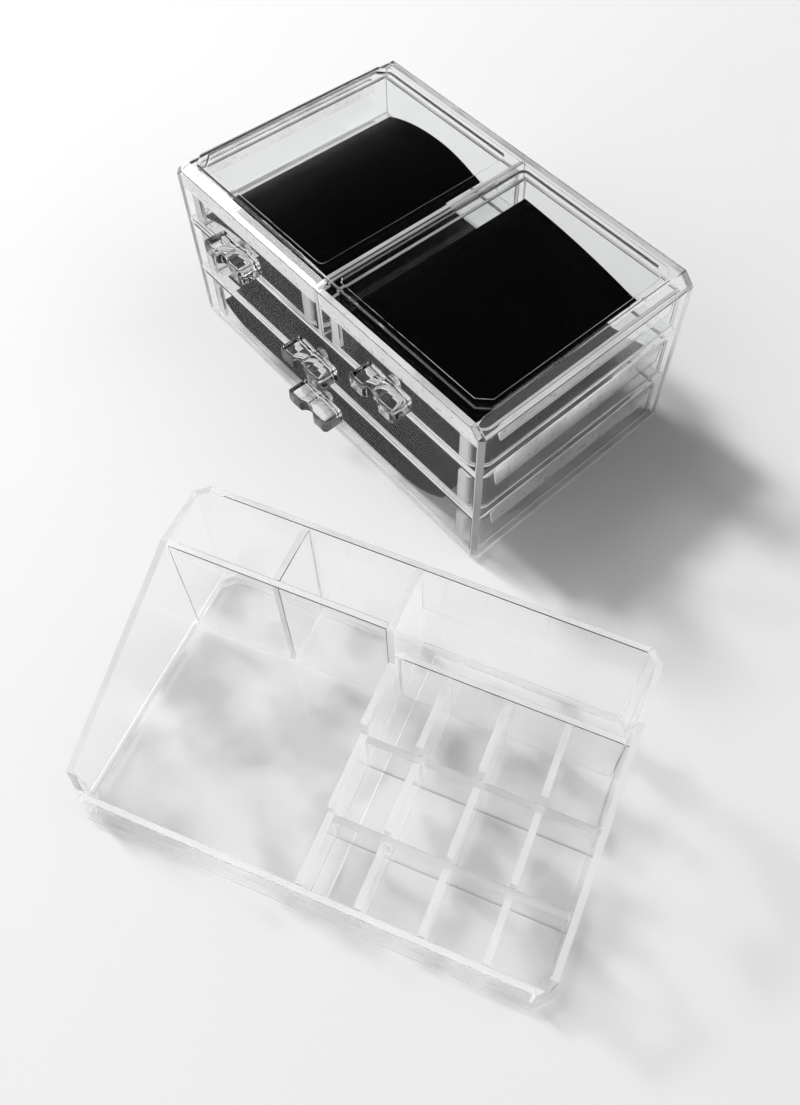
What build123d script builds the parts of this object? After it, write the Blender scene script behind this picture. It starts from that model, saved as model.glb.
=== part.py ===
from build123d import *
import os
from math import radians, sqrt

os.makedirs("parts", exist_ok=True)

# Case: outside sizes and sheet thicknesses
case_width = 238.0
case_depth = 147.0
case_height = 114.0
case_wall = 3.0
shelf_wall = 2.5
shoulder = 6.6
front_bevel = 2.4
front_slope_depth = 6.0
front_slope_drop = 2.0
row_count = 3

# Case top: nest rim with a middle band between two bays
rim_inset = 10.6
rim_width = 3.6
rim_height = 1.6
rim_soft = 0.5
band_width = 14.0
bay_radius = 3.0

# Runner ribs on the case sides, and the stop tab on the divider
runner_foot = 14.8333
runner_head_gap = 0.8
runner_proud = 1.4
runner_soft = 0.5
runner_front_inset = 13.4
runner_back_inset = 14.5
runner_lean = 2.4
runner_round = 4.0
stop_length = 14.0
stop_height = 6.0
stop_proud = 2.0
stop_back_inset = 9.0

# Drawers
front_wall = 3.0
front_recess = 1.0
front_edge = 0.8
front_corner = 1.5
drawer_wall = 2.2
drawer_corner = 7.0
drawer_return = 11.5
drawer_head_gap = 2.2
drawer_back_gap = 1.8

# Bow-tie knob
knob_width = 31.5
knob_lobe_width = 10.0
knob_height = 10.5
knob_waist_height = 7.4
knob_depth = 12.5
knob_waist_depth = 9.5
knob_corner = 2.4
knob_edge = 1.1
knob_rises = {"top_left_drawer": 0, "top_right_drawer": 0, "middle_drawer": 5.0, "bottom_drawer": 6.0}
neck_radius = 4.0
neck_length = 3.0
peg_radius = 2.5

# Liner sheets: for each, where its left edge starts and its runs, as shares of the drawer's inside width,
# the heading it starts with, and how far each run bends
liner_thick = 0.8
liner_front_margin = 3.5
liner_back_margin = 1.2
liner_lift = 0.1
liner_start_shares = {
    "top_left_drawer": 0.045,
    "top_right_drawer": 0.022,
    "middle_drawer": 0.075,
    "bottom_drawer": 0.025,
}
liner_run_shares = {
    "top_left_drawer": (0.412, 0.356),
    "top_right_drawer": (0.815,),
    "middle_drawer": (0.604, 0.293),
    "bottom_drawer": (0.115, 0.597, 0.185),
}
liner_headings = {"top_left_drawer": 24, "top_right_drawer": -2.5, "middle_drawer": 0, "bottom_drawer": -40}
liner_bends = {
    "top_left_drawer": (-24, -26.5),
    "top_right_drawer": (-12,),
    "middle_drawer": (0, 21),
    "bottom_drawer": (40, 0, 45),
}

# Tray, set down on the table in front of the case
tray_x = 165.2
tray_y = -182.9
tray_yaw = 25.3
tray_width = 218.7
tray_depth = 130.9
tray_height = 84.0
tray_wall = 3.0
tray_divider = 3.2
tray_base_wall = 3.0
tray_flange = 2.3
tray_pad = 1.8
corner_cut = 6.0
lip_height = 27.0
slope_end_height = 38.0
slope_drop = 3.0
partition_y = 32.7
rear_divider_x = -54.7
centre_wall_x = -0.8
slot_wall_y = 36.2
slot_step_height = 49.0
slot_step_proud = 1.0
row_wall_ys = (-0.3, -34.0)
terrace_heights = (50.0, 38.0, 30.5)
first_column_x = 25.2
column_pitch = 27.9
column_count = 3

# Gaps and edge finish
bond = 0.05
slide_gap = 0.4
front_gap = 0.5
peg_gap = 0.05
nest_gap = 0.75
edge_break = 0.3

# Heights and positions that follow
half_width = case_width / 2
half_depth = case_depth / 2
inner_half = half_width - case_wall
roof = case_height - case_wall
seam = case_height - shoulder + case_wall - case_wall * sqrt(2)
row_height = (roof - case_wall - (row_count - 1) * shelf_wall) / row_count
back_inside = half_depth - case_wall
front_face = half_depth - front_recess
front_back_face = front_wall - front_face
drawer_back = back_inside - drawer_back_gap
drawer_height = row_height - slide_gap - (roof - seam) - drawer_head_gap


def row_floor(row):
    return case_wall + row * (row_height + shelf_wall)


def keep(piece, node):
    piece.part.label = node
    export_step(piece.part, f"parts/{node}.step")


# Outside shape of the case, sloped at the front of its top and bevelled round its front: it trims the panels
with BuildPart() as case_outside:
    with BuildSketch(Plane.XZ.offset(half_depth)) as case_outline:
        with BuildLine():
            Polyline(
                (-half_width, 0),
                (half_width, 0),
                (half_width, case_height - shoulder),
                (half_width - shoulder, case_height),
                (shoulder - half_width, case_height),
                (-half_width, case_height - shoulder),
                close=True,
            )
        make_face()
    extrude(amount=-case_depth)
    front_side = case_outside.faces().sort_by(Axis.Y)[0]
    top_edge = front_side.edges().sort_by(Axis.Z)[-1]
    chamfer(top_edge, length=front_slope_drop, length2=front_slope_depth, reference=front_side)
    front_side = case_outside.faces().sort_by(Axis.Y)[0]
    chamfer(front_side.edges().sort_by(Axis.Z)[:-1], length=front_bevel)
    chamfer(case_outside.faces().sort_by(Axis.Y)[-1].edges(), length=edge_break)


# Bay pocket on the case top; the tray's pads use it too, drawn smaller by a margin
def bay_outline(side, margin, plane):
    bay_width = half_width - rim_inset - band_width / 2
    bay_centre = side * (band_width + bay_width) / 2
    bay_depth = case_depth - 2 * rim_inset
    with BuildSketch(plane) as bay:
        with Locations((bay_centre, 0)):
            Rectangle(bay_width - 2 * margin, bay_depth - 2 * margin)
        corners = bay.vertices().sort_by(lambda corner: side * corner.X)
        chamfer(corners[2:], length=corner_cut)
        fillet(bay.vertices().sort_by(lambda corner: side * corner.X)[:2], radius=bay_radius)
    return bay.sketch


# Case top panel with its shoulders, rim and middle band
with BuildPart() as top_panel:
    with BuildSketch(Plane.XZ.offset(half_depth)) as top_section:
        with BuildLine():
            Polyline(
                (half_width, seam),
                (half_width, case_height - shoulder),
                (half_width - shoulder, case_height),
                (shoulder - half_width, case_height),
                (-half_width, case_height - shoulder),
                (-half_width, seam),
                (-inner_half, seam),
                (roof - seam - inner_half, roof),
                (inner_half - roof + seam, roof),
                (inner_half, seam),
                close=True,
            )
        make_face()
    extrude(amount=-case_depth)
    add(case_outside.part, mode=Mode.INTERSECT)
    with BuildSketch(Plane.XY.offset(case_height)) as rim:
        rim_out = rim_inset - rim_width
        Rectangle(case_width - 2 * rim_out, case_depth - 2 * rim_out)
        chamfer(rim.vertices(), length=corner_cut)
        for side in (-1, 1):
            add(bay_outline(side, 0, Plane.XY), mode=Mode.SUBTRACT)
    extrude(amount=rim_height)
    chamfer(top_panel.faces().sort_by(Axis.Z)[-1].edges(), length=rim_soft)
keep(top_panel, "case_top_panel")

# Case base panel
with BuildPart() as base_panel:
    with Locations((0, 0, case_wall / 2)):
        Box(case_width, case_depth, case_wall)
    add(case_outside.part, mode=Mode.INTERSECT)
keep(base_panel, "case_base_panel")

# Case side panels with a runner rib for each drawer row, its foot measured down from the row's ceiling
for side, node in ((-1, "case_left_panel"), (1, "case_right_panel")):
    with BuildPart() as side_panel:
        with Locations((side * (inner_half + half_width) / 2, 0, (seam + case_wall) / 2)):
            Box(case_wall, case_depth, seam - case_wall - 2 * bond)
        add(case_outside.part, mode=Mode.INTERSECT)
        for row in range(row_count):
            foot = row_floor(row) + row_height - runner_foot
            head = min(row_floor(row) + row_height, seam) - runner_head_gap
            with BuildSketch(Plane.YZ.offset(side * inner_half)) as runner:
                with BuildLine():
                    Polyline(
                        (runner_front_inset - half_depth, foot),
                        (half_depth - runner_back_inset, foot),
                        (half_depth - runner_back_inset + runner_lean, head),
                        (runner_front_inset - runner_lean - half_depth, head),
                        close=True,
                    )
                make_face()
                fillet(runner.vertices().sort_by(Axis.Y)[-2:], radius=runner_round)
            extrude(amount=-side * runner_proud)
        ribs = side_panel.faces().filter_by(Axis.X).sort_by(Axis.X)
        rib_faces = ribs[-row_count:] if side < 0 else ribs[:row_count]
        chamfer(rib_faces.edges(), length=runner_soft)
    keep(side_panel, node)

# Case back panel, let in between the sides
with BuildPart() as back_panel:
    with BuildSketch(Plane.XZ.offset(-back_inside)) as back_outline:
        with BuildLine():
            Polyline(
                (-inner_half, case_wall),
                (inner_half, case_wall),
                (inner_half, seam),
                (inner_half - roof + seam, roof),
                (roof - seam - inner_half, roof),
                (-inner_half, seam),
                close=True,
            )
        make_face()
        offset(amount=-bond, kind=Kind.INTERSECTION)
    extrude(amount=-case_wall)
    chamfer(back_panel.faces().sort_by(Axis.Y)[-1].edges(), length=edge_break)
keep(back_panel, "case_back_panel")

# Shelves under the upper two rows
for row, node in ((1, "case_lower_shelf"), (2, "case_upper_shelf")):
    shelf_depth = front_face + back_inside - bond
    with BuildPart() as shelf:
        with Locations((0, shelf_depth / 2 - front_face, row_floor(row) - shelf_wall / 2)):
            Box(2 * inner_half - 2 * bond, shelf_depth, shelf_wall)
        chamfer(shelf.edges(), length=edge_break)
    keep(shelf, node)

# Divider between the two small drawers, with its stop tab
divider_floor = row_floor(row_count - 1)
with BuildPart() as divider:
    with Locations((0, shelf_depth / 2 - front_face, divider_floor + row_height / 2)):
        Box(shelf_wall, shelf_depth, row_height - 2 * bond)
    chamfer(divider.edges(), length=edge_break)
    stop_top = roof - edge_break - bond
    stop_y = back_inside - stop_back_inset
    with Locations(((shelf_wall + stop_proud) / 2, stop_y - stop_length / 2, stop_top - stop_height / 2)):
        Box(stop_proud, stop_length, stop_height)
keep(divider, "case_centre_divider")


# Bow-tie knob on a drawer front, centred on (x, z): two blunt ends joined by a waist. It is shaped at the
# origin, with the front's face at y = 0, and then set in its place
def build_knob(node, x, z):
    end_x = knob_width / 2
    lobe_x = end_x - knob_lobe_width
    end_z = knob_height / 2
    waist_z = knob_waist_height / 2
    near_y = -neck_length
    far_y = near_y - knob_depth
    waist_y = near_y - knob_waist_depth
    with BuildPart() as knob:
        with BuildSketch(Plane.XZ.offset(-near_y)) as knob_front:
            with BuildLine():
                upper = ThreePointArc((-lobe_x, end_z), (0, waist_z), (lobe_x, end_z))
                right = Polyline(
                    upper @ 1, (end_x, end_z), (end_x, -end_z), (lobe_x, -end_z)
                )
                lower = ThreePointArc(right @ 1, (0, -waist_z), (-lobe_x, -end_z))
                Polyline(lower @ 1, (-end_x, -end_z), (-end_x, end_z), upper @ 0)
            make_face()
            ends = knob_front.vertices().sort_by(Axis.X)
            fillet(ends[:2] + ends[-2:], radius=knob_corner)
        extrude(amount=knob_depth)
        with BuildSketch(Plane.XY.offset(-end_z)) as knob_plan:
            with BuildLine():
                outer = ThreePointArc((-lobe_x, far_y), (0, waist_y), (lobe_x, far_y))
                right = Polyline(outer @ 1, (end_x, far_y), (end_x, near_y))
                Polyline(right @ 1, (-end_x, near_y), (-end_x, far_y), outer @ 0)
            make_face()
            far_ends = knob_plan.vertices().group_by(Axis.Y)[0].sort_by(Axis.X)
            fillet([far_ends[0], far_ends[-1]], radius=knob_corner)
        extrude(amount=knob_height, mode=Mode.INTERSECT)
        fillet(knob.faces().group_by(Axis.Y)[0].edges(), radius=knob_edge)
        fillet(knob.faces().group_by(Axis.Y)[-1].edges(), radius=knob_edge)
        with BuildSketch(Plane.XZ.offset(bond)) as neck:
            Circle(neck_radius)
        extrude(amount=neck_length - bond)
        with BuildSketch(Plane.XZ.offset(bond)) as peg:
            Circle(peg_radius)
        extrude(amount=-front_wall)
    with BuildPart() as placed_knob:
        with Locations((x, -front_face, z)):
            add(knob.part)
    keep(placed_knob, node)


# Loose liner sheet: its section is a chain of straight runs and bends, drawn from its left edge, and it is
# laid so that the lowest point of the chain comes to rest at the height rest_z
def build_liner(node, start_x, rest_z, heading, lengths, angles, low_y, high_y):
    with BuildLine() as path:
        point = Vector(0, 0)
        for length, angle in zip(lengths, angles):
            direction = Vector(1, 0).rotate(Axis.Z, heading)
            if angle:
                run = JernArc(point, direction, length / abs(radians(angle)), angle)
            else:
                run = Line(point, point + direction * length)
            point = run @ 1
            heading += angle
    laid_z = rest_z - path.line.bounding_box().min.Y
    laid = Plane(origin=(start_x, low_y, laid_z), x_dir=Plane.XZ.x_dir, z_dir=Plane.XZ.z_dir)
    with BuildPart() as liner:
        with BuildSketch(laid) as section:
            trace(path.wires(), line_width=liner_thick)
        extrude(amount=low_y - high_y)
    keep(liner, node)


# Plain rectangular sheet with lightly broken edges, between two corners
def build_sheet(node, low, high, plane=Plane.XY):
    sizes = [top - bottom for bottom, top in zip(low, high)]
    middle = [(top + bottom) / 2 for bottom, top in zip(low, high)]
    with BuildPart(plane) as sheet:
        with Locations(tuple(middle)):
            Box(*sizes)
        chamfer(sheet.edges(), length=edge_break)
    keep(sheet, node)


# One drawer in the bay between low_x and high_x; cut is the side whose upper corner follows the shoulder
def build_drawer(name, low_x, high_x, row, cut):
    bay_floor = row_floor(row)
    middle_x = (low_x + high_x) / 2
    knob_z = bay_floor + row_height / 2 + knob_rises[name]
    left = low_x + front_gap
    right = high_x - front_gap
    lower = bay_floor + front_gap
    upper = bay_floor + row_height - front_gap
    corner = shoulder - (2 - sqrt(2)) * (case_wall + front_gap)
    left_cut = corner if cut < 0 else 0
    right_cut = corner if cut > 0 else 0
    outline = [(left, lower), (right, lower), (right, upper - right_cut)]
    outline += [(right - right_cut, upper)] if right_cut else []
    outline += [(left + left_cut, upper)]
    outline += [(left, upper - left_cut)] if left_cut else []
    with BuildPart() as front:
        with BuildSketch(Plane.XZ.offset(front_face)) as plate:
            with BuildLine():
                Polyline(*outline, close=True)
            make_face()
            fillet(plate.vertices(), radius=front_corner)
        extrude(amount=-front_wall)
        chamfer(front.faces().sort_by(Axis.Y)[0].edges(), length=front_edge)
        with BuildSketch(Plane.XZ.offset(front_face)) as peg_hole:
            with Locations((middle_x, knob_z)):
                Circle(peg_radius + peg_gap)
        extrude(amount=-front_wall, mode=Mode.SUBTRACT)
    keep(front, f"{name}_front")
    build_knob(f"{name}_knob", middle_x, knob_z)

    # The box behind the front: floor, sides standing on it that turn in behind the front, back let in between
    box_left = low_x + runner_proud + slide_gap
    box_right = high_x - runner_proud - slide_gap
    box_front = front_back_face + bond
    floor_under = bay_floor + slide_gap
    floor_over = floor_under + drawer_wall
    side_foot = floor_over + bond
    box_top = floor_under + drawer_height
    with BuildPart() as floor:
        with BuildSketch(Plane.XY.offset(floor_under)) as floor_plan:
            with Locations(((box_left + box_right) / 2, (box_front + drawer_back) / 2)):
                Rectangle(box_right - box_left, drawer_back - box_front)
            fillet(floor_plan.vertices().sort_by(Axis.Y)[:2], radius=drawer_corner)
        extrude(amount=drawer_wall)
        chamfer(floor.faces().filter_by(Axis.Z).edges(), length=edge_break)
    keep(floor, f"{name}_floor")
    for side, outer_x, word in ((-1, box_left, "left"), (1, box_right, "right")):
        wall_x = outer_x - side * drawer_wall / 2
        wall_y = box_front + drawer_wall / 2
        with BuildPart() as wall:
            with BuildSketch(Plane.XY.offset(side_foot)) as wall_plan:
                with BuildLine() as bend:
                    FilletPolyline(
                        (wall_x, drawer_back),
                        (wall_x, wall_y),
                        (outer_x - side * drawer_return, wall_y),
                        radius=drawer_corner - drawer_wall / 2,
                    )
                trace(bend.wires(), line_width=drawer_wall)
            extrude(amount=box_top - side_foot)
            chamfer(wall.faces().sort_by(Axis.Z)[-1].edges(), length=edge_break)
        keep(wall, f"{name}_{word}_side")
    inside_left = box_left + drawer_wall
    inside_right = box_right - drawer_wall
    inside_back = drawer_back - drawer_wall
    build_sheet(
        f"{name}_back",
        (inside_left + bond, inside_back, side_foot),
        (inside_right - bond, drawer_back, box_top),
    )

    # The liner lies loose on the floor
    inside_width = inside_right - inside_left
    start_x = inside_left + liner_start_shares[name] * inside_width
    rest_z = floor_over + liner_lift + liner_thick / 2
    runs = [share * inside_width for share in liner_run_shares[name]]
    heading = liner_headings[name]
    bends = liner_bends[name]
    liner_front = box_front + liner_front_margin
    liner_back = inside_back - liner_back_margin
    build_liner(f"{name}_liner", start_x, rest_z, heading, runs, bends, liner_front, liner_back)


divider_half = shelf_wall / 2
build_drawer("top_left_drawer", -inner_half, -divider_half, 2, -1)
build_drawer("top_right_drawer", divider_half, inner_half, 2, 1)
build_drawer("middle_drawer", -inner_half, inner_half, 1, 0)
build_drawer("bottom_drawer", -inner_half, inner_half, 0, 0)

# Tray: planes of its own, because it stands turned on the table
tray_plane = Plane(Location((tray_x, tray_y, 0), (0, 0, tray_yaw)))
tray_side_view = Plane(origin=tray_plane.origin, x_dir=tray_plane.y_dir, z_dir=tray_plane.x_dir)
tray_half_width = tray_width / 2
tray_half_depth = tray_depth / 2
tray_inner_x = tray_half_width - tray_wall
tray_inner_y = tray_half_depth - tray_wall
plate_top = tray_pad + tray_base_wall
wall_foot = plate_top + bond
mitre = tray_wall * (sqrt(2) - 1)
wall_end_x = tray_half_width - corner_cut
wall_end_y = tray_half_depth - corner_cut
half_sheet = tray_divider / 2
centre_left = centre_wall_x - half_sheet
centre_right = centre_wall_x + half_sheet

# Tray base plate with the two pads that drop into the case top
with BuildPart() as tray_base:
    for side in (-1, 1):
        add(bay_outline(side, nest_gap, tray_plane))
        extrude(amount=tray_pad)
    with BuildSketch(tray_plane.offset(tray_pad)) as base_outline:
        Rectangle(tray_width + 2 * tray_flange, tray_depth + 2 * tray_flange)
        chamfer(base_outline.vertices(), length=corner_cut + (2 - sqrt(2)) * tray_flange)
    extrude(amount=tray_base_wall)
    chamfer(tray_base.faces().sort_by(Axis.Z)[-1].edges(), length=edge_break)
keep(tray_base, "tray_base")

# Tray rear wall and front lip, with mitred ends
for side, top, node in ((1, tray_height, "tray_rear_wall"), (-1, lip_height, "tray_front_lip")):
    outer_x = wall_end_x - bond
    inner_x = wall_end_x - mitre - bond
    with BuildPart() as cross_wall:
        with BuildSketch(tray_plane.offset(wall_foot)) as wall_plan:
            with BuildLine():
                Polyline(
                    (-outer_x, side * tray_half_depth),
                    (outer_x, side * tray_half_depth),
                    (inner_x, side * tray_inner_y),
                    (-inner_x, side * tray_inner_y),
                    close=True,
                )
            make_face()
        extrude(amount=top - wall_foot)
        chamfer(cross_wall.faces().sort_by(Axis.Z)[-1].edges(), length=edge_break)
        if side > 0:
            step_low = centre_right + bond
            step_high = inner_x - slot_step_proud
            with BuildSketch(tray_plane.offset(wall_foot)) as step_plan:
                with Locations(((step_low + step_high) / 2, tray_inner_y - slot_step_proud / 2)):
                    Rectangle(step_high - step_low, slot_step_proud)
            extrude(amount=slot_step_height - wall_foot)
    keep(cross_wall, node)

# Tray side walls: corner facets at both ends, top flat at the rear, then sloping down to the lip
for side, node in ((-1, "tray_left_wall"), (1, "tray_right_wall")):
    with BuildPart() as side_wall:
        with BuildSketch(tray_plane.offset(wall_foot)) as wall_plan:
            with BuildLine():
                Polyline(
                    (side * wall_end_x, tray_half_depth),
                    (side * tray_half_width, wall_end_y),
                    (side * tray_half_width, -wall_end_y),
                    (side * wall_end_x, -tray_half_depth),
                    (side * (wall_end_x - mitre), -tray_inner_y),
                    (side * tray_inner_x, mitre - wall_end_y),
                    (side * tray_inner_x, wall_end_y - mitre),
                    (side * (wall_end_x - mitre), tray_inner_y),
                    close=True,
                )
            make_face()
        extrude(amount=tray_height - wall_foot)
        with BuildSketch(tray_side_view) as wall_profile:
            with BuildLine():
                Polyline(
                    (-tray_half_depth, 0),
                    (tray_half_depth, 0),
                    (tray_half_depth, tray_height),
                    (partition_y, tray_height),
                    (-wall_end_y, slope_end_height),
                    (-wall_end_y - slope_drop, lip_height),
                    (-tray_half_depth, lip_height),
                    close=True,
                )
            make_face()
        extrude(amount=tray_width, both=True, mode=Mode.INTERSECT)
    keep(side_wall, node)

# Tray partition and rear divider, both full height
build_sheet(
    "tray_partition",
    (bond - tray_inner_x, partition_y - half_sheet, wall_foot),
    (centre_left - bond, partition_y + half_sheet, tray_height),
    tray_plane,
)
build_sheet(
    "tray_rear_divider",
    (rear_divider_x - half_sheet, partition_y + half_sheet + bond, wall_foot),
    (rear_divider_x + half_sheet, tray_inner_y - bond, tray_height),
    tray_plane,
)

# Tray slot wall, behind the lipstick cells
build_sheet(
    "tray_slot_wall",
    (centre_right + bond, slot_wall_y - half_sheet, wall_foot),
    (tray_inner_x - bond, slot_wall_y + half_sheet, terrace_heights[0]),
    tray_plane,
)

# Stepped walls between the lipstick columns, notched from above for the row walls
rear_y = slot_wall_y - half_sheet - bond
lip_y = bond - tray_inner_y
row_ys = [y + half_sheet for y in row_wall_ys]


def stepped_profile(start):
    outline = [(lip_y, wall_foot), start[0]] + start[1:]
    outline += [(row_ys[0], terrace_heights[0]), (row_ys[0], terrace_heights[1])]
    outline += [(row_ys[1], terrace_heights[1]), (row_ys[1], terrace_heights[2])]
    return outline + [(lip_y, terrace_heights[2])]


def cut_profile(name, x, outline, notched):
    with BuildPart() as stepped:
        plane = Plane(
            origin=tray_plane.from_local_coords((x - half_sheet, 0, 0)),
            x_dir=tray_plane.y_dir,
            z_dir=tray_plane.x_dir,
        )
        with BuildSketch(plane) as profile:
            with BuildLine():
                Polyline(*outline, close=True)
            make_face()
            if notched:
                for y, top in zip(row_wall_ys, terrace_heights[1:]):
                    notch_foot = (top + wall_foot) / 2
                    with Locations((y, notch_foot + top / 2)):
                        Rectangle(tray_divider + 2 * bond, top, mode=Mode.SUBTRACT)
        extrude(amount=tray_divider)
    keep(stepped, name)


column_xs = [first_column_x + column_pitch * number for number in range(column_count)]
for number, x in enumerate(column_xs):
    cut_profile(
        f"tray_column_divider_{number + 1}",
        x,
        stepped_profile([(rear_y, wall_foot), (rear_y, terrace_heights[0])]),
        True,
    )

# Tray centre wall: full height behind the partition, then stepping down beside the lipstick cells
centre_rear = tray_inner_y - bond
centre_drop = partition_y - half_sheet
cut_profile(
    "tray_centre_wall",
    centre_wall_x,
    stepped_profile(
        [
            (centre_rear, wall_foot),
            (centre_rear, tray_height),
            (centre_drop, tray_height),
            (centre_drop, terrace_heights[0]),
        ]
    ),
    False,
)

# Row walls across the lipstick columns, notched from below over the column dividers
for number, (y, top) in enumerate(zip(row_wall_ys, terrace_heights[1:])):
    row_low = centre_right + bond
    row_high = tray_inner_x - bond
    with BuildPart(tray_plane) as row_wall:
        with Locations(((row_low + row_high) / 2, y, (wall_foot + top) / 2)):
            Box(row_high - row_low, tray_divider, top - wall_foot)
        notch_top = (top + wall_foot) / 2 + bond
        for x in column_xs:
            with Locations((x, y, notch_top / 2)):
                Box(tray_divider + 2 * bond, 2 * tray_divider, notch_top, mode=Mode.SUBTRACT)
    keep(row_wall, f"tray_row_wall_{number + 1}")
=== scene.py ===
# %% [markdown]
# # A clear drawer case and its make-up tray
#
# The object is made of flat sheets of clear acrylic: a case with four drawers, and a loose tray that
# stands on the table in front of it. The rigid sheets come from the CAD part. This lesson gives them the
# look of polished acrylic, lays a bent black liner sheet in each drawer, and lights it all on a pale table.

# %% Load the rigid part
import math

import bpy
from mathutils import Matrix, Vector


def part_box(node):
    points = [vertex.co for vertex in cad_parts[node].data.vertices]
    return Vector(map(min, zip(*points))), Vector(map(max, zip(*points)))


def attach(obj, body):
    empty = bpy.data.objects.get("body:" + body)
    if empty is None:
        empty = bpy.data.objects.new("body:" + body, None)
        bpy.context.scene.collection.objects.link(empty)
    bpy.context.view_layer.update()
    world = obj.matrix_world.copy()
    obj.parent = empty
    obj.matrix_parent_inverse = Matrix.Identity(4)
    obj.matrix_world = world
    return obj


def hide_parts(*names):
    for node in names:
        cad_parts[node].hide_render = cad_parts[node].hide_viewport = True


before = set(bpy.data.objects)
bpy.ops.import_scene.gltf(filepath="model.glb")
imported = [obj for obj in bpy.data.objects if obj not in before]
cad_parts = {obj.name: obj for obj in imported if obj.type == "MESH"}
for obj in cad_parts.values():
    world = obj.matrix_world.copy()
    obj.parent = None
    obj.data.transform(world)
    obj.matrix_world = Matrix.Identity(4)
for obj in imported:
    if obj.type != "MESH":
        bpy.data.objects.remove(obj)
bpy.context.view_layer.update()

# %% [markdown]
# ## Small helpers for materials
#
# Every finish below is a tree of shader nodes. Placing nodes by hand in the editor is fine for one
# material, but a lesson reads better when one line makes one node. So a few small helpers start an empty
# finish, add a node with its settings, mix two shaders, and join two values in a sum.


# %% Node helpers
def new_finish(name):
    finish = bpy.data.materials.new(name)
    finish.use_nodes = True
    finish.node_tree.nodes.clear()
    return finish, finish.node_tree


def add_node(tree, kind, **values):
    node = tree.nodes.new(kind)
    for socket, value in values.items():
        node.inputs[socket.replace("_", " ")].default_value = value
    return node


def mix_shaders(tree, share, first, second):
    mix = tree.nodes.new("ShaderNodeMixShader")
    if isinstance(share, float):
        mix.inputs["Fac"].default_value = share
    else:
        tree.links.new(share, mix.inputs["Fac"])
    tree.links.new(first, mix.inputs[1])
    tree.links.new(second, mix.inputs[2])
    return mix.outputs["Shader"]


def join_values(tree, operation, first, second):
    node = tree.nodes.new("ShaderNodeMath")
    node.operation = operation
    tree.links.new(first, node.inputs[0])
    tree.links.new(second, node.inputs[1])
    return node.outputs["Value"]


print("node helpers:", [helper.__name__ for helper in (new_finish, add_node, mix_shaders, join_values)])

# %% [markdown]
# No real surface is even, so most values below drift with a noise. It follows the object's own coordinates
# in metres, which keeps the pattern at its true size and fixed to a drawer that slides. One helper lays the
# noise, one spreads a value between two levels, and one colours it. A painted picture could do the same,
# but would have to be wrapped round every sheet.


# %% Noise helpers
def noise_on(tree, scale, detail, roughness=0.5):
    place = tree.nodes.new("ShaderNodeTexCoord")
    noise = add_node(tree, "ShaderNodeTexNoise", Scale=scale, Detail=detail, Roughness=roughness)
    tree.links.new(place.outputs["Object"], noise.inputs["Vector"])
    return noise.outputs["Fac"]


def spread(tree, source, low, high, from_low=0.3, from_high=0.7):
    ramp = tree.nodes.new("ShaderNodeMapRange")
    for socket, value in (("From Min", from_low), ("From Max", from_high), ("To Min", low), ("To Max", high)):
        ramp.inputs[socket].default_value = value
    tree.links.new(source, ramp.inputs["Value"])
    return ramp.outputs["Result"]


def ramp_on(tree, source, low, high):
    ramp = tree.nodes.new("ShaderNodeValToRGB")
    for stop, (position, *colour) in zip(ramp.color_ramp.elements, (low, high)):
        stop.position = position
        stop.color = (*colour, 1)
    tree.links.new(source, ramp.inputs["Fac"])
    return ramp.outputs["Color"]


print("noise helpers:", [helper.__name__ for helper in (noise_on, spread, ramp_on)])

# %% [markdown]
# ## Clear acrylic
#
# Acrylic bends light a little less than window glass: its refractive index is 1.49. The broad faces of a
# sheet are polished, with faint handling marks, so the roughness drifts a little, and they are very slightly
# wavy, which shows as small shifts in the lines seen through them.
#
# The Principled shader at full transmission both mirrors and refracts. A share of plain refraction is mixed
# in, which mirrors nothing. The larger that share, called calm here, the more a sheet shows only what lies
# behind it, with black lines where light can't get out at its edges.

# %% Polished faces
acrylic_index = 1.49
polish_drift = 0.028
tint_scale = 9.0
wave_scale = 22.0
wave_depth = 0.0004
palest_tint = (0.0, 0.985, 0.99, 0.99)
clear_tint = (1.0, 1.0, 1.0, 1.0)


def polished_face(tree, marks, calm, wave):
    body = add_node(tree, "ShaderNodeBsdfPrincipled", IOR=acrylic_index, Transmission_Weight=1.0)
    through = add_node(tree, "ShaderNodeBsdfRefraction", IOR=acrylic_index)
    polish = spread(tree, marks, 0.0, polish_drift)
    tint = ramp_on(tree, noise_on(tree, tint_scale, detail=2.0), palest_tint, clear_tint)
    bump = add_node(tree, "ShaderNodeBump", Strength=wave, Distance=wave_depth)
    tree.links.new(noise_on(tree, wave_scale, detail=1.0), bump.inputs["Height"])
    for shader, colour in ((body, "Base Color"), (through, "Color")):
        tree.links.new(polish, shader.inputs["Roughness"])
        tree.links.new(tint, shader.inputs[colour])
        tree.links.new(bump.outputs["Normal"], shader.inputs["Normal"])
    return mix_shaders(tree, calm, body.outputs["BSDF"], through.outputs["BSDF"])


print("refractive index of the sheets:", acrylic_index)

# %% [markdown]
# The cut edges are another matter: a saw or a laser leaves them frosted, and light that travels inside the
# sheet comes out there, so they shine white. Rough glass would be slow and noisy for this. Frost throws part
# of the light back and lets the rest through, so a diffuse and a translucent shader share the edge.

# %% Frosted edges
greyest_frost = (0.3, 0.93, 0.94, 0.94)
whitest_frost = (0.7, 1.0, 1.0, 1.0)


def frosted_edge(tree, marks, glow_share):
    frost = ramp_on(tree, marks, greyest_frost, whitest_frost)
    scatter = tree.nodes.new("ShaderNodeBsdfDiffuse")
    glow = tree.nodes.new("ShaderNodeBsdfTranslucent")
    tree.links.new(frost, scatter.inputs["Color"])
    tree.links.new(frost, glow.inputs["Color"])
    return mix_shaders(tree, glow_share, scatter.outputs["BSDF"], glow.outputs["BSDF"])


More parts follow.
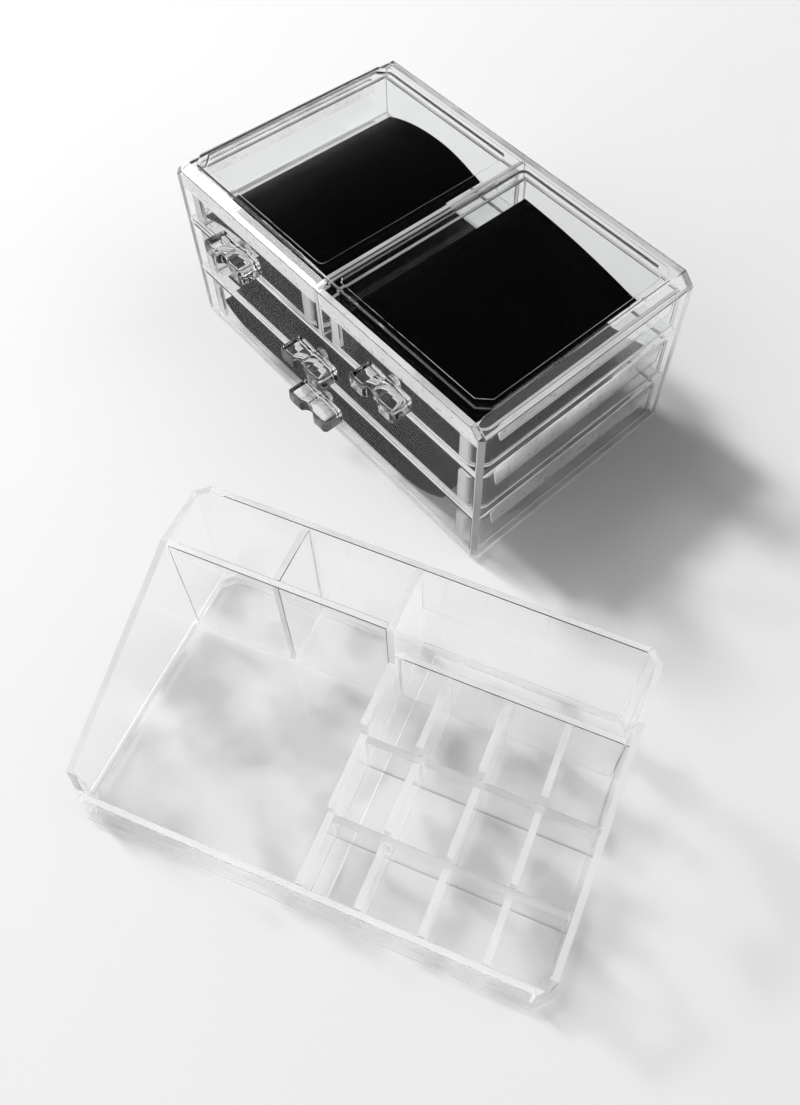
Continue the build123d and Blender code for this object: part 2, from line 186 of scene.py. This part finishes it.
print("frost runs from", greyest_frost[1:], "to", whitest_frost[1:])

# %% [markdown]
# One tree can hold both finishes, because a sheet has one flat direction. Where the surface faces that
# direction it is a polished face, and where it faces across it is a cut edge. The alternative, a separate
# material on each edge face, would need every face of every sheet to be picked out.
#
# Some sheets also have a zone of painted light, such as the painted highlight across the top of the upper
# drawer fronts. A point is in the zone by its place along one axis, and small specks in it stay clearer.

# %% Where a sheet is white
speck_scale = 260.0
speck_from, speck_to = 0.3, 0.42


def whiteness(tree, flat_way, edge_white, flat_face_white, edge_from, edge_to, painted_light_band):
    place = tree.nodes.new("ShaderNodeTexCoord")
    facing = tree.nodes.new("ShaderNodeVectorMath")
    facing.operation = "DOT_PRODUCT"
    facing.inputs[1].default_value = flat_way
    tree.links.new(place.outputs["Normal"], facing.inputs[0])
    flatness = tree.nodes.new("ShaderNodeMath")
    flatness.operation = "ABSOLUTE"
    tree.links.new(facing.outputs["Value"], flatness.inputs[0])
    # Flat faces get a white share of their own. On the drawer fronts it is painted reflection, standing in
    # for the veil of the mirrored table.
    white = spread(tree, flatness.outputs["Value"], edge_white, flat_face_white, edge_from, edge_to)
    if painted_light_band is None:
        return white
    # The zone is painted light: a white share where the sheet should look lit brighter.
    axis, clear_at, full_at, speckled, strength = painted_light_band
    spot = tree.nodes.new("ShaderNodeSeparateXYZ")
    tree.links.new(place.outputs["Object"], spot.inputs["Vector"])
    zone = spread(tree, spot.outputs[axis], 0.0, 1.0, clear_at, full_at)
    noise = noise_on(tree, speck_scale, detail=2.0)
    specks = spread(tree, noise, speckled, strength, speck_from, speck_to)
    return join_values(tree, "MAXIMUM", white, join_values(tree, "MULTIPLY", zone, specks))


print("specks in the haze, about", round(1000 / speck_scale, 1), "mm apart")

# %% [markdown]
# A lamp's shadow ray does not bend through a transmission shader, so a plain clear shader stands in for it
# there: the sheets then cast the pale, patchy shadows of clear plastic and not the black ones of metal. True
# caustics would be nearer to the real thing, but they need far more samples.
#
# With that, one function puts the whole finish together.

# %% Pale shadows and the whole finish
mark_scale = 55.0
patch_scale = 34.0
patch_from, patch_to = 0.4, 0.52


def pale_shadow(tree, surface, shade):
    path = tree.nodes.new("ShaderNodeLightPath")
    patches = noise_on(tree, patch_scale, detail=2.0, roughness=0.55)
    passed = ramp_on(tree, patches, (patch_from, shade, shade, shade), (patch_to, 1.0, 1.0, 1.0))
    clear = tree.nodes.new("ShaderNodeBsdfTransparent")
    tree.links.new(passed, clear.inputs["Color"])
    for ray in ("Is Shadow Ray", "Is Diffuse Ray"):
        surface = mix_shaders(tree, path.outputs[ray], surface, clear.outputs["BSDF"])
    return surface


def clear_acrylic(
    name, flat_way, edge_white, calm, wave=0.25, edge_from=0.5, edge_to=0.72, flat_face_white=0.0, shade=0.8,
    glow_share=0.4, painted_light_band=None,
):
    finish, tree = new_finish(name)
    marks = noise_on(tree, mark_scale, detail=5.0, roughness=0.6)
    face = polished_face(tree, marks, calm, wave)
    edge = frosted_edge(tree, marks, glow_share)
    white = whiteness(tree, flat_way, edge_white, flat_face_white, edge_from, edge_to, painted_light_band)
    sheet = mix_shaders(tree, white, face, edge)
    out = tree.nodes.new("ShaderNodeOutputMaterial")
    tree.links.new(pale_shadow(tree, sheet, shade), out.inputs["Surface"])
    return finish


print("patches in a clear shadow, about", round(1000 / patch_scale), "mm apart")

# %% [markdown]
# ## Finishes of the case
#
# Each sheet needs the finish that knows its flat direction. The case is square to the frame, so these
# directions are the axes. The finishes differ in a few ways that can be seen on the real set:
#
# - how white the cut edges are: sawn on the base and the shelves, flame polished on the lid,
# - how calm the faces are: a drawer front in the shade mirrors little, and shows black lines in its edges,
# - a faint white share on the faces of the drawer fronts, which is painted reflection: a pale veil that
#   stands in for the mirrored table.
#
# A drawer side bends round behind the front, and the bent part is the frosted one.

# %% Plain sheets of the case
lying_flat, facing_forward, facing_sideways = (0, 0, 1), (0, 1, 0), (1, 0, 0)
# The last of these is painted reflection: a white share on the fronts' faces that stands in for the veil of
# the mirrored table.
front_white, front_calm, front_painted_veil = 0.85, 0.97, 0.045
side_edge_from, side_edge_to = 0.6, 0.85

lid = clear_acrylic("clear_lid", lying_flat, edge_white=0.15, calm=0.25)
base = clear_acrylic(
    "clear_base", lying_flat, edge_white=0.95, calm=0.1, edge_from=0.72, edge_to=0.9, glow_share=0.5
)
lying = clear_acrylic("clear_sheet_lying", lying_flat, edge_white=1.0, calm=0.2, glow_share=0.3)
drawer_front = clear_acrylic("clear_drawer_front", facing_forward, front_white, front_calm, flat_face_white=front_painted_veil)
sheet_at_back = clear_acrylic(
    "clear_sheet_at_the_back", facing_forward, edge_white=0.75, calm=0.95, flat_face_white=0.02
)
upright_sheet = clear_acrylic(
    "clear_sheet_facing_side", facing_sideways, edge_white=0.8, calm=0.6,
    edge_from=side_edge_from, edge_to=side_edge_to,
)
drawer_side = clear_acrylic(
    "clear_bent_drawer_side", facing_sideways, edge_white=0.55, calm=0.5, edge_from=0.1, edge_to=0.5
)
moulded = clear_acrylic("clear_moulded_knob", lying_flat, edge_white=0.0, calm=0.3, wave=0.3)
print("nodes in the lid's finish:", len(lid.node_tree.nodes))

# %% [markdown]
# Three kinds of sheet have a zone of painted light, where a white share on the face stands in for light: a
# painted highlight across the top of the two upper fronts, with small dark specks, painted light along the
# foot of the middle front for the lit edge of the drawer floor behind it, and painted light on the runner
# ribs of the case's sides. Each zone is measured from the box of its own sheet, so it stays in place if the
# case gets another size. A zone goes from clear to full white over less than a millimetre, because the bright
# bands on the real sheets have a sharp border.

# %% Sheets of the case with painted light
upper_band_clear, upper_band_full = 0.0121, 0.0113
foot_band_clear, foot_band_full = 0.0036, 0.0028
rib_face_clear, rib_face_full = 0.0009, 0.0005

# Painted highlight across the top of the two upper fronts.
front_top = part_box("top_left_drawer_front")[1].z
upper_front_painted_highlight = clear_acrylic(
    "clear_front_with_painted_highlight_at_its_top", facing_forward, front_white, front_calm, flat_face_white=front_painted_veil,
    painted_light_band=("Z", front_top - upper_band_clear, front_top - upper_band_full, 0.35, 0.95),
)
# Painted light along the foot of the middle front, standing in for the lit edge of the drawer floor behind
# it.
front_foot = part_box("middle_drawer_front")[0].z
middle_front_painted_foot = clear_acrylic(
    "clear_front_with_painted_light_at_its_foot", facing_forward, front_white, front_calm, flat_face_white=front_painted_veil,
    painted_light_band=("Z", front_foot + foot_band_clear, front_foot + foot_band_full, 0.5, 0.9),
)


# Painted light: the white zone on the rib faces stands in for the brightness that the ribs show.
def side_with_painted_rib_light(name, rib_face, inward):
    painted_light_band = ("X", rib_face - inward * rib_face_clear, rib_face - inward * rib_face_full, 0.25, 0.45)
    return clear_acrylic(
        name, facing_sideways, edge_white=0.8, calm=0.5, edge_from=side_edge_from, edge_to=side_edge_to,
        painted_light_band=painted_light_band,
    )


right_side = side_with_painted_rib_light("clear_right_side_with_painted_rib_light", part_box("case_right_panel")[0].x, -1)
left_side = side_with_painted_rib_light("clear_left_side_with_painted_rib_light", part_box("case_left_panel")[1].x, 1)
print("upper haze starts at", round(front_top - upper_band_clear, 4), "m up")

# %% [markdown]
# ## Finishes of the tray
#
# The tray is turned on the table, so its two upright directions are turned with it. It stands in the open
# light, and its sheets cast paler shadows than the case does. The dividers between the lipsticks have a faint
# even white share on their faces. The base and the partition have the whitest cuts, and the low walls of the
# cells the softest.

# %% Sheets of the tray
tray_turn = math.radians(25.3)
tray_across = (math.cos(tray_turn), math.sin(tray_turn), 0)
tray_along = (-math.sin(tray_turn), math.cos(tray_turn), 0)
tray_shade = 0.88

tray_base = clear_acrylic(
    "clear_tray_base", lying_flat, edge_white=1.0, calm=0.1, shade=tray_shade, glow_share=0.6
)
tray_side = clear_acrylic("clear_tray_outer_wall", tray_across, edge_white=0.75, calm=0.08, shade=tray_shade)
tray_divider = clear_acrylic(
    "clear_tray_divider", tray_across, edge_white=0.6, calm=0.08, flat_face_white=0.2, shade=tray_shade
)
tray_row = clear_acrylic("clear_tray_sheet_along", tray_along, edge_white=0.8, calm=0.1, shade=tray_shade)
tray_partition = clear_acrylic(
    "clear_tray_partition", tray_along, edge_white=0.95, calm=0.3, shade=tray_shade
)
tray_cell = clear_acrylic(
    "clear_tray_cell_wall", tray_along, edge_white=0.35, calm=0.2, flat_face_white=0.08, shade=tray_shade
)
print("the tray is turned by", round(math.degrees(tray_turn), 1), "degrees")

# %% [markdown]
# The names of the sheets say what they are, so a short list of name endings picks the finish for each. What
# isn't on the list lies flat: the shelves and the drawer floors. The liners are still in this round as plain
# solids, and are replaced further down.

# %% Dress every sheet
finishes = (
    (("_knob",), moulded),
    (("case_top_panel",), lid),
    (("case_base_panel",), base),
    (("drawer_left_side", "drawer_right_side"), drawer_side),
    (("top_left_drawer_front", "top_right_drawer_front"), upper_front_painted_highlight),
    (("middle_drawer_front",), middle_front_painted_foot),
    (("bottom_drawer_front",), drawer_front),
    (("_drawer_back", "_back_panel"), sheet_at_back),
    (("case_left_panel",), left_side),
    (("case_right_panel",), right_side),
    (("case_centre_divider",), upright_sheet),
    (("tray_base",), tray_base),
    (("tray_left_wall", "tray_right_wall", "tray_rear_divider"), tray_side),
    (("tray_centre_wall", "column_divider_1", "column_divider_2", "column_divider_3"), tray_divider),
    (("tray_partition",), tray_partition),
    (("tray_rear_wall", "tray_front_lip", "tray_slot_wall"), tray_row),
    (("row_wall_1", "row_wall_2"), tray_cell),
)
for name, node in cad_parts.items():
    chosen = next((finish for endings, finish in finishes if name.endswith(endings)), lying)
    node.data.materials.clear()
    node.data.materials.append(chosen)
    print(name, "->", chosen.name)

# %% [markdown]
# ## Black liner sheets
#
# Each drawer holds a loose black plastic sheet that has curled in storage. Its finish comes first. The black
# is very deep, with a faint drift, the surface is rubbed to a soft shine in places, and a fine grain breaks
# up the reflections. A flat black would look like a hole in the picture.

# %% Black sheet finish
liner_index = 1.45
liner_shine = 0.06
drift_scale = 30.0
deepest_black = (0.0, 0.0008, 0.0008, 0.0009)
palest_black = (1.0, 0.0016, 0.0016, 0.0018)
rub_scale, rub_low, rub_high = 140.0, 0.22, 0.28
grain_scale, grain_strength, grain_depth = 900.0, 0.12, 0.0001


def black_sheet(name):
    finish, tree = new_finish(name)
    body = add_node(tree, "ShaderNodeBsdfPrincipled", IOR=liner_index, Specular_IOR_Level=liner_shine)
    drift = noise_on(tree, drift_scale, detail=4.0, roughness=0.55)
    tree.links.new(ramp_on(tree, drift, deepest_black, palest_black), body.inputs["Base Color"])
    rub = noise_on(tree, rub_scale, detail=6.0, roughness=0.65)
    tree.links.new(spread(tree, rub, rub_low, rub_high), body.inputs["Roughness"])
    bump = add_node(tree, "ShaderNodeBump", Strength=grain_strength, Distance=grain_depth)
    tree.links.new(noise_on(tree, grain_scale, detail=2.0), bump.inputs["Height"])
    tree.links.new(bump.outputs["Normal"], body.inputs["Normal"])
    out = tree.nodes.new("ShaderNodeOutputMaterial")
    tree.links.new(body.outputs["BSDF"], out.inputs["Surface"])
    return finish


liner_black = black_sheet("black_liner_sheet")
print("liner finish:", liner_black.name)

# %% [markdown]
# A curled sheet could be a cloth simulation, but stiff plastic bends in one direction only, so the true form
# is a profile of runs and bends, drawn across the drawer and carried along its depth.
#
# The profile starts at the sheet's left edge, at a share of the drawer's inside width, with a heading in
# degrees. Each run has a length, again as a share of that width, and the angle through which it bends.
# Walking the runs in small steps gives the points, and the lowest of them is set down on the drawer floor.

# %% Liner profiles
profile_step = 0.002
fewest_steps = 6
liner_bends = {
    "top_left_drawer": (0.045, 24, ((0.412, -24), (0.356, -26.5))),
    "top_right_drawer": (0.022, -2.5, ((0.815, -12),)),
    "middle_drawer": (0.075, 0, ((0.604, 0), (0.293, 21))),
    "bottom_drawer": (0.025, -40, ((0.115, 40), (0.597, 0), (0.185, 45))),
}


def walk_profile(inside_width, heading, runs):
    turn = math.radians(heading)
    points = [(0.0, 0.0)]
    turns = [turn]
    for share, bend in runs:
        steps = max(fewest_steps, round(share * inside_width / profile_step))
        step_length = share * inside_width / steps
        half_bend = math.radians(bend) / steps / 2
        for _ in range(steps):
            turn += half_bend
            x, z = points[-1]
            points.append((x + step_length * math.cos(turn), z + step_length * math.sin(turn)))
            turn += half_bend
            turns.append(turn)
    lowest = min(z for _, z in points)
    return [(x, z - lowest) for x, z in points], turns


print("runs in each profile:", {drawer: len(runs) for drawer, (_, _, runs) in liner_bends.items()})

# %% [markdown]
# A strip of faces on each side of the profile, closed round its four edges, makes the sheet. The rows along
# the depth are about three millimetres apart, near the length of a step along the profile, so the faces come
# out close to square and the sheet can be bent further by whoever uses it.

# %% Liner mesh
liner_thick = 0.0008
liner_rows = 45


def liner_mesh(name, points, turns, start_x, rest_z, front_y, depth):
    verts = []
    for row in range(liner_rows):
        y = front_y + depth * row / (liner_rows - 1)
        for shift in (-liner_thick / 2, liner_thick / 2):
            for (x, z), turn in zip(points, turns):
                verts.append((start_x + x - math.sin(turn) * shift, y, rest_z + z + math.cos(turn) * shift))
    count = len(points)
    ring = 2 * count
    faces = []
    for row in range(liner_rows - 1):
        near, far = row * ring, (row + 1) * ring
        for step in range(count - 1):
            upper = count + step
            faces.append((near + step, far + step, far + step + 1, near + step + 1))
            faces.append((near + upper, near + upper + 1, far + upper + 1, far + upper))
        faces.append((near, near + count, far + count, far))
        faces.append((near + count - 1, far + count - 1, far + ring - 1, near + ring - 1))
    last = (liner_rows - 1) * ring
    for step in range(count - 1):
        upper = count + step
        faces.append((step, step + 1, upper + 1, upper))
        faces.append((last + step, last + upper, last + upper + 1, last + step + 1))
    mesh = bpy.data.meshes.new(name)
    mesh.from_pydata(verts, [], faces)
    mesh.validate()
    for polygon in mesh.polygons:
        polygon.use_smooth = True
    return mesh


print("liner sheets:", liner_thick * 1000, "mm thick")

# %% [markdown]
# Each liner lies a hair above its drawer's floor, between the cemented sides, and rides with its drawer. It
# replaces the plain CAD solid. The faces are shaded smooth, and the edge split keeps the cut edges crisp. A
# bevel there would be finer than anything that can be seen at this thickness.

# %% Build the four liners
liner_lift = 0.0001
cement_gap = 0.00005
crisp_angle = math.radians(50)


def build_liner(drawer):
    start_share, heading, runs = liner_bends[drawer]
    back_low, back_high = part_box(f"{drawer}_back")
    solid_low, solid_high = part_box(f"{drawer}_liner")
    inside_left = back_low.x - cement_gap
    inside_width = back_high.x + cement_gap - inside_left
    start_x = inside_left + start_share * inside_width
    rest_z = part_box(f"{drawer}_floor")[1].z + liner_lift + liner_thick / 2
    length = solid_high.y - solid_low.y
    points, turns = walk_profile(inside_width, heading, runs)
    mesh = liner_mesh(f"{drawer}_black_liner", points, turns, start_x, rest_z, solid_low.y, length)
    mesh.materials.append(liner_black)
    liner = bpy.data.objects.new(f"{drawer}_black_liner", mesh)
    bpy.context.scene.collection.objects.link(liner)
    liner.modifiers.new("cut_edges", "EDGE_SPLIT").split_angle = crisp_angle
    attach(liner, drawer)
    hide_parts(f"{drawer}_liner")


for drawer in liner_bends:
    build_liner(drawer)

# %% [markdown]
# ## The table
#
# A clear object shows what is round it, so the table matters as much as the acrylic. A pale, matt sheet with
# a faint cloudiness keeps it from looking like empty white, and it runs far past the frame so that the
# edges of the sheets refract table and not a void.

# %% Pale table
table_reach = 6.0
table_drop = 0.0003
cloud_scale = 3.0
cloud_grey = (0.0, 0.8, 0.8, 0.805)
cloud_white = (1.0, 0.86, 0.86, 0.86)


def table_finish(name):
    finish, tree = new_finish(name)
    body = add_node(tree, "ShaderNodeBsdfPrincipled", Roughness=0.6, Specular_IOR_Level=0.2)
    tone = ramp_on(tree, noise_on(tree, cloud_scale, detail=3.0), cloud_grey, cloud_white)
    tree.links.new(tone, body.inputs["Base Color"])
    out = tree.nodes.new("ShaderNodeOutputMaterial")
    tree.links.new(body.outputs["BSDF"], out.inputs["Surface"])
    return finish


corners = [(x * table_reach, y * table_reach, 0) for x, y in ((-1, -1), (1, -1), (1, 1), (-1, 1))]
table_mesh = bpy.data.meshes.new("table")
table_mesh.from_pydata(corners, [], [(0, 1, 2, 3)])
table_mesh.materials.append(table_finish("pale_table"))
table = bpy.data.objects.new("table", table_mesh)
table.location.z = -table_drop
bpy.context.scene.collection.objects.link(table)
print("table:", 2 * table_reach, "m wide")

# %% [markdown]
# ## Light
#
# One lamp stands high on the left and throws the soft shadows to the right. It is far off, so that the table
# is lit evenly. A long strip far above it has one task: the slope at the front of the lid mirrors it as a
# white band on its left half. A sun lamp could throw the shadows too, but its edges would be harder.


# %% Lamps
def add_lamp(name, place, aim, size, watts, length=None, along=(1, 0, 0)):
    lamp = bpy.data.lights.new(name, "AREA")
    lamp.shape = "RECTANGLE" if length else "DISK"
    lamp.size = length or size
    lamp.size_y = size
    lamp.energy = watts
    backward = (Vector(place) - Vector(aim)).normalized()
    sideways = (Vector(along) - Vector(along).dot(backward) * backward).normalized()
    turned = Matrix((sideways, backward.cross(sideways), backward)).transposed().to_4x4()
    holder = bpy.data.objects.new(name, lamp)
    holder.matrix_world = Matrix.Translation(place) @ turned
    bpy.context.scene.collection.objects.link(holder)
    print(name, "at", place, "with", watts, "W")


lamp_size, strip_length = 0.6, 1.2
lamp_place, lamp_aim = (-3.56, -0.72, 2.86), (0.06, -0.08, 0.04)
strip_place, strip_aim, strip_along = (-3.4, -0.62, 3.8), (-0.06, -0.07, 0.113), (0.81, -0.08, 0.57)
add_lamp("left_lamp", lamp_place, lamp_aim, lamp_size, watts=190)
add_lamp("lid_strip", strip_place, strip_aim, lamp_size, watts=36, length=strip_length, along=strip_along)

# %% [markdown]
# Clear plastic shows the room as much as itself, so the room is planned too. It is dark overhead, because
# the lid would mirror a white ceiling and grey the black liners. It is pale low down, like the walls of a
# studio, and three bright panels, on the left, in front and behind on the right, give the cut edges
# something to catch. A ready-made picture of a room could do this, but each panel here can be moved until an
# edge lights up.

# %% Room
wall_level, ceiling_level = 0.515, 0.015
wall_top_from, wall_top_to = 0.1, 0.28
panel_blur = 3
panels = (
    ((-0.80, -0.35, 0.49), 22, 2.0),
    ((-0.3, -0.9, 0.3), 25, 2.0),
    ((0.60, 0.60, 0.53), 30, 1.1),
)

world = bpy.data.worlds.new("studio")
bpy.context.scene.world = world
world.use_nodes = True
room = world.node_tree
room.nodes.clear()
room_place = room.nodes.new("ShaderNodeTexCoord").outputs["Generated"]


def bright_panel(way, half_angle, level):
    towards = room.nodes.new("ShaderNodeVectorMath")
    towards.operation = "DOT_PRODUCT"
    towards.inputs[1].default_value = Vector(way).normalized()
    room.links.new(room_place, towards.inputs[0])
    inner = math.cos(math.radians(half_angle - panel_blur))
    outer = math.cos(math.radians(half_angle + panel_blur))
    return spread(room, towards.outputs["Value"], 0.0, level, outer, inner)


height = room.nodes.new("ShaderNodeSeparateXYZ")
room.links.new(room_place, height.inputs["Vector"])
room_level = spread(room, height.outputs["Z"], wall_level, ceiling_level, wall_top_from, wall_top_to)
for panel in panels:
    room_level = join_values(room, "ADD", room_level, bright_panel(*panel))
room_light = add_node(room, "ShaderNodeBackground", Strength=1.0)
room.links.new(room_level, room_light.inputs["Color"])
room_out = room.nodes.new("ShaderNodeOutputWorld")
room.links.new(room_light.outputs["Background"], room_out.inputs["Surface"])
print("bright panels in the room:", len(panels))

# %% [markdown]
# ## Camera
#
# The photograph looks down at the case from its right front corner. The place, the angles and the lens come
# from lining up the case's and the tray's edges with the photograph. Setting them by eye would do for a
# pretty picture, but then no edge could be compared with the real one.

# %% Camera
image_width, image_height = 800, 1105
eye = Vector((0.29606, -0.2638, 0.47172))
azimuth, elevation, roll = math.radians(41.17), math.radians(54.94), math.radians(5.92)
focal_pixels = 1013.26
centre_x, centre_y = 499.43, 453.17

outward = math.cos(elevation)
back = Vector((math.sin(azimuth) * outward, -math.cos(azimuth) * outward, math.sin(elevation)))
level = (-back).cross(Vector((0, 0, 1))).normalized()
upright = level.cross(-back)
right = math.cos(roll) * level + math.sin(roll) * upright
up = -math.sin(roll) * level + math.cos(roll) * upright

lens = bpy.data.cameras.new("camera")
lens.sensor_width = 36.0
lens.lens = focal_pixels * lens.sensor_width / image_height
lens.shift_x = (image_width / 2 - centre_x) / image_height
lens.shift_y = (centre_y - image_height / 2) / image_height
camera = bpy.data.objects.new("camera", lens)
camera.matrix_world = Matrix.Translation(eye) @ Matrix((right, up, back)).transposed().to_4x4()
bpy.context.scene.collection.objects.link(camera)
bpy.context.scene.camera = camera
print("lens:", round(lens.lens, 2), "shift:", round(lens.shift_x, 4), round(lens.shift_y, 4))

# %% [markdown]
# ## Finish
#
# A ray that enters this set crosses many sheets before it leaves, so it may bounce more often than usual:
# with few bounces, what lies behind many sheets turns black. The standard view keeps colours as written.

# %% View, sizes and finish
bpy.context.scene.view_settings.view_transform = "Standard"
light_paths = bpy.context.scene.cycles
light_paths.max_bounces = 40
light_paths.transmission_bounces = 40
light_paths.glossy_bounces = 24
light_paths.transparent_max_bounces = 40
